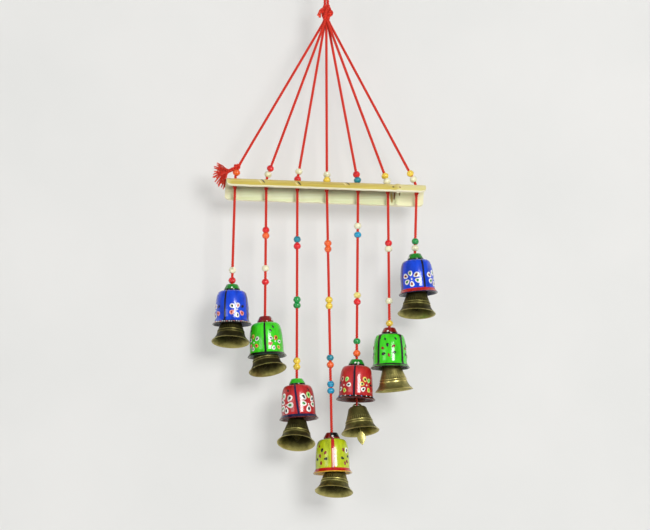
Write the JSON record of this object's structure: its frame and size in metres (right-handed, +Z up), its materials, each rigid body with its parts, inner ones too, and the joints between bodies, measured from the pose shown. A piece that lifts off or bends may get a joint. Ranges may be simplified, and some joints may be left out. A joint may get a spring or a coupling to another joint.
{
  "type": "wall hanging with bells",
  "caption": "Folk wall hanging: painted wooden cups with brass bells hang in a V on red cords with wooden beads from a split bamboo bar.",
  "frame": {"origin": "the point of the hanging loop that bears on the nail", "axes": "+Z up, +X to the viewer's right, +Y towards the wall"},
  "size_m": [0.229, 0.0474, 0.5289],
  "materials": {
    "cotton": "matte cord",
    "bamboo": "raw split culm",
    "brass": "antique",
    "paint_blue": "gloss paint",
    "paint_lime": "gloss paint",
    "paint_red": "gloss paint",
    "paint_yellow": "gloss paint",
    "paint_green": "gloss paint",
    "paint_leaf": "gloss paint",
    "paint_maroon": "gloss paint",
    "paint_black": "gloss paint"
  },
  "bodies": {
    "hanging_loop": {"hanging_loop": "cotton"},
    "hanger": {"gathering_knot": "cotton", "bamboo_bar": "bamboo", "tassel": "cotton", "stay_1": "cotton", "stay_2": "cotton", "stay_3": "cotton", "stay_4": "cotton", "stay_5": "cotton", "stay_6": "cotton", "stay_7": "cotton"},
    "string_1": {"string_1": "cotton"},
    "cup_1": {"cap_1": "paint_green", "cup_1": "paint_blue", "bell_cord_1": "cotton"},
    "bell_1": {"bell_1": "brass"},
    "clapper_1": {"clapper_1": "brass"},
    "string_2": {"string_2": "cotton"},
    "cup_2": {"cap_2": "paint_maroon", "cup_2": "paint_lime", "bell_cord_2": "cotton"},
    "bell_2": {"bell_2": "brass"},
    "clapper_2": {"clapper_2": "brass"},
    "string_3": {"string_3": "cotton"},
    "cup_3": {"cap_3": "paint_leaf", "cup_3": "paint_red", "bell_cord_3": "cotton"},
    "bell_3": {"bell_3": "brass"},
    "clapper_3": {"clapper_3": "brass"},
    "string_4": {"string_4": "cotton"},
    "cup_4": {"cap_4": "paint_black", "cup_4": "paint_yellow", "bell_cord_4": "cotton"},
    "bell_4": {"bell_4": "brass"},
    "clapper_4": {"clapper_4": "brass"},
    "string_5": {"string_5": "cotton"},
    "cup_5": {"cap_5": "paint_green", "cup_5": "paint_red", "bell_cord_5": "cotton"},
    "bell_5": {"bell_5": "brass"},
    "clapper_5": {"clapper_5": "brass"},
    "string_6": {"string_6": "cotton"},
    "cup_6": {"cap_6": "paint_maroon", "cup_6": "paint_lime", "bell_cord_6": "cotton"},
    "bell_6": {"bell_6": "brass"},
    "clapper_6": {"clapper_6": "brass"},
    "string_7": {"string_7": "cotton"},
    "cup_7": {"cap_7": "paint_green", "cup_7": "paint_blue", "bell_cord_7": "cotton"},
    "bell_7": {"bell_7": "brass"},
    "clapper_7": {"clapper_7": "brass"}
  },
  "joints": [
    {"name": "hanger_sway", "type": "hinge", "parent": "hanging_loop", "child": "hanger", "pos_m": [0, 0, -0.0267], "axis": [0, 1, 0], "range_deg": [-12, 12]},
    {"name": "string_1_swing", "type": "hinge", "parent": "hanger", "child": "string_1", "pos_m": [-0.09165, 0, -0.2188], "axis": [-1, 0, 0], "range_deg": [0, 30]},
    {"name": "cup_1_rock", "type": "hinge", "parent": "string_1", "child": "cup_1", "pos_m": [-0.09418, 0, -0.3119], "axis": [-1, 0, 0], "range_deg": [-15, 15]},
    {"name": "bell_1_swing", "type": "hinge", "parent": "cup_1", "child": "bell_1", "pos_m": [-0.09448, 0, -0.3437], "axis": [-1, 0, 0], "range_deg": [-28, 6]},
    {"name": "clapper_1_swing", "type": "hinge", "parent": "bell_1", "child": "clapper_1", "pos_m": [-0.0948, -0.00175, -0.35273], "axis": [-1, 0, 0], "range_deg": [-28, 49]},
    {"name": "string_2_swing", "type": "hinge", "parent": "hanger", "child": "string_2", "pos_m": [-0.06019, 0, -0.21996], "axis": [-1, 0, 0], "range_deg": [0, 30]},
    {"name": "cup_2_rock", "type": "hinge", "parent": "string_2", "child": "cup_2", "pos_m": [-0.0612, 0, -0.34426], "axis": [-1, 0, 0], "range_deg": [-15, 15]},
    {"name": "bell_2_swing", "type": "hinge", "parent": "cup_2", "child": "bell_2", "pos_m": [-0.06293, 0, -0.37239], "axis": [-1, 0, 0], "range_deg": [-24, 0]},
    {"name": "clapper_2_swing", "type": "hinge", "parent": "bell_2", "child": "clapper_2", "pos_m": [-0.06145, -0.00199, -0.38125], "axis": [-1, 0, 0], "range_deg": [-26, 49]},
    {"name": "string_3_swing", "type": "hinge", "parent": "hanger", "child": "string_3", "pos_m": [-0.02902, 0, -0.2211], "axis": [-1, 0, 0], "range_deg": [0, 30]},
    {"name": "cup_3_rock", "type": "hinge", "parent": "string_3", "child": "cup_3", "pos_m": [-0.02942, 0, -0.4071], "axis": [-1, 0, 0], "range_deg": [-15, 15]},
    {"name": "bell_3_swing", "type": "hinge", "parent": "cup_3", "child": "bell_3", "pos_m": [-0.02856, 0, -0.44651], "axis": [-1, 0, 0], "range_deg": [-50, 15]},
    {"name": "clapper_3_swing", "type": "hinge", "parent": "bell_3", "child": "clapper_3", "pos_m": [-0.02902, -0.00292, -0.45522], "axis": [-1, 0, 0], "range_deg": [-20, 56]},
    {"name": "string_4_swing", "type": "hinge", "parent": "hanger", "child": "string_4", "pos_m": [0.00063, 0, -0.22219], "axis": [-1, 0, 0], "range_deg": [0, 30]},
    {"name": "cup_4_rock", "type": "hinge", "parent": "string_4", "child": "cup_4", "pos_m": [0.00526, 0, -0.46119], "axis": [-1, 0, 0], "range_deg": [-15, 15]},
    {"name": "bell_4_swing", "type": "hinge", "parent": "cup_4", "child": "bell_4", "pos_m": [0.00931, 0, -0.49379], "axis": [-1, 0, 0], "range_deg": [-31, 7]},
    {"name": "clapper_4_swing", "type": "hinge", "parent": "bell_4", "child": "clapper_4", "pos_m": [0.00876, -0.00191, -0.50278], "axis": [-1, 0, 0], "range_deg": [-27, 50]},
    {"name": "string_5_swing", "type": "hinge", "parent": "hanger", "child": "string_5", "pos_m": [0.03175, 0, -0.22333], "axis": [-1, 0, 0], "range_deg": [0, 30]},
    {"name": "cup_5_rock", "type": "hinge", "parent": "string_5", "child": "cup_5", "pos_m": [0.03033, 0, -0.38773], "axis": [-1, 0, 0], "range_deg": [-15, 15]},
    {"name": "bell_5_swing", "type": "hinge", "parent": "cup_5", "child": "bell_5", "pos_m": [0.03033, 0, -0.43374], "axis": [-1, 0, 0], "range_deg": [-42, 18]},
    {"name": "clapper_5_swing", "type": "hinge", "parent": "bell_5", "child": "clapper_5", "pos_m": [0.03144, -0.00128, -0.44279], "axis": [-1, 0, 0], "range_deg": [-26, 42]},
    {"name": "string_6_swing", "type": "hinge", "parent": "hanger", "child": "string_6", "pos_m": [0.0618, 0, -0.22443], "axis": [-1, 0, 0], "range_deg": [0, 30]},
    {"name": "cup_6_rock", "type": "hinge", "parent": "string_6", "child": "cup_6", "pos_m": [0.06301, 0, -0.35573], "axis": [-1, 0, 0], "range_deg": [-15, 15]},
    {"name": "bell_6_swing", "type": "hinge", "parent": "cup_6", "child": "bell_6", "pos_m": [0.06463, 0, -0.39111], "axis": [-1, 0, 0], "range_deg": [-22, 28]},
    {"name": "clapper_6_swing", "type": "hinge", "parent": "bell_6", "child": "clapper_6", "pos_m": [0.06559, 0.0004, -0.40025], "axis": [-1, 0, 0], "range_deg": [-40, 35]},
    {"name": "string_7_swing", "type": "hinge", "parent": "hanger", "child": "string_7", "pos_m": [0.09023, 0, -0.22547], "axis": [-1, 0, 0], "range_deg": [0, 30]},
    {"name": "cup_7_rock", "type": "hinge", "parent": "string_7", "child": "cup_7", "pos_m": [0.08869, 0, -0.28107], "axis": [-1, 0, 0], "range_deg": [-15, 15]},
    {"name": "bell_7_swing", "type": "hinge", "parent": "cup_7", "child": "bell_7", "pos_m": [0.09035, 0, -0.31485], "axis": [-1, 0, 0], "range_deg": [-29, 13]},
    {"name": "clapper_7_swing", "type": "hinge", "parent": "bell_7", "child": "clapper_7", "pos_m": [0.09027, -0.00128, -0.32396], "axis": [-1, 0, 0], "range_deg": [-31, 46]}
  ]
}
